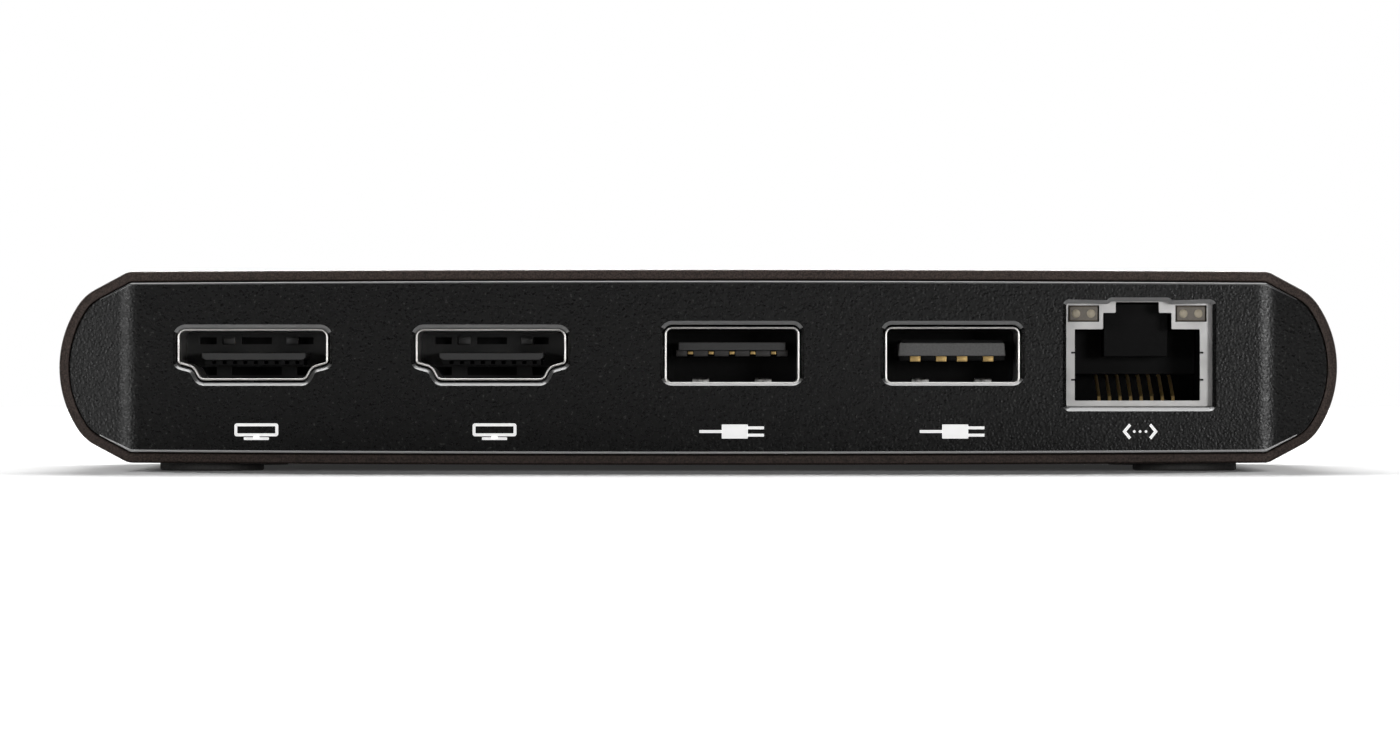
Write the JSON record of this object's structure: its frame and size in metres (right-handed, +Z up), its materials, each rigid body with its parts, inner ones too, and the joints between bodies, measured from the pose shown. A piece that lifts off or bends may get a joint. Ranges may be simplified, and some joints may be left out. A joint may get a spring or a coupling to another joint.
{
  "type": "laptop docking station",
  "caption": "Compact desktop docking station: a flat metal sleeve with rounded ends, a port panel with video, data and network sockets, rubber feet and a host inlet at the rear.",
  "frame": {"origin": "under the middle of the body, on the surface that the feet stand on", "axes": "+X along the body to the right seen from the port side, -Y out of the port side, +Z up"},
  "size_m": [0.1228, 0.0664, 0.0193],
  "materials": {
    "anodised_aluminium": "bead-blasted, dark bronze-grey anodised",
    "cap_plastic": "black, fine moulded leather grain",
    "port_steel": "nickel-plated sheet",
    "port_plastic": "black, smooth moulded",
    "contact_gold": "gold-plated",
    "lamp_resin": "translucent, unlit",
    "foot_rubber": "matt black",
    "screw_steel": "black oxide",
    "board_laminate": "solder mask",
    "chip_epoxy": "moulded",
    "bare_aluminium": "bare, drawn",
    "thermal_silicone": "soft, matt"
  },
  "bodies": {
    "root": {"housing_sleeve": "anodised_aluminium", "port_cap": "cap_plastic", "host_cap": "cap_plastic", "foot_front_left": "foot_rubber", "foot_front_right": "foot_rubber", "foot_rear_left": "foot_rubber", "foot_rear_right": "foot_rubber", "case_screw_front_left": "screw_steel", "case_screw_front_right": "screw_steel", "case_screw_rear_left": "screw_steel", "case_screw_rear_right": "screw_steel", "board_screw_front_left": "screw_steel", "board_screw_front_right": "screw_steel", "board_screw_rear_left": "screw_steel", "board_screw_rear_right": "screw_steel", "main_circuit_board": "board_laminate", "video_port_left_shell": "port_steel", "video_port_left_insert": "port_plastic", "video_port_left_contacts": "contact_gold", "video_port_right_shell": "port_steel", "video_port_right_insert": "port_plastic", "video_port_right_contacts": "contact_gold", "fast_data_port_shell": "port_steel", "fast_data_port_insert": "port_plastic", "fast_data_port_contacts": "contact_gold", "data_port_shell": "port_steel", "data_port_insert": "port_plastic", "data_port_contacts": "contact_gold", "network_jack_shield": "port_steel", "network_jack_body": "port_plastic", "network_jack_contacts": "contact_gold", "network_lamp_left": "lamp_resin", "network_lamp_right": "lamp_resin", "host_inlet_shell": "port_steel", "host_inlet_insert": "port_plastic", "host_controller_chip": "chip_epoxy", "video_converter_chip_left": "chip_epoxy", "video_converter_chip_right": "chip_epoxy", "data_hub_chip": "chip_epoxy", "network_controller_chip": "chip_epoxy", "network_transformer": "chip_epoxy", "firmware_memory_chip": "chip_epoxy", "crystal_host": "bare_aluminium", "crystal_network": "bare_aluminium", "power_inductor_left": "chip_epoxy", "power_inductor_middle": "chip_epoxy", "power_inductor_right": "chip_epoxy", "input_capacitor_left": "bare_aluminium", "input_capacitor_right": "bare_aluminium", "heat_spreader": "bare_aluminium", "controller_thermal_pad": "thermal_silicone", "housing_thermal_pad": "thermal_silicone"}
  },
  "joints": []
}
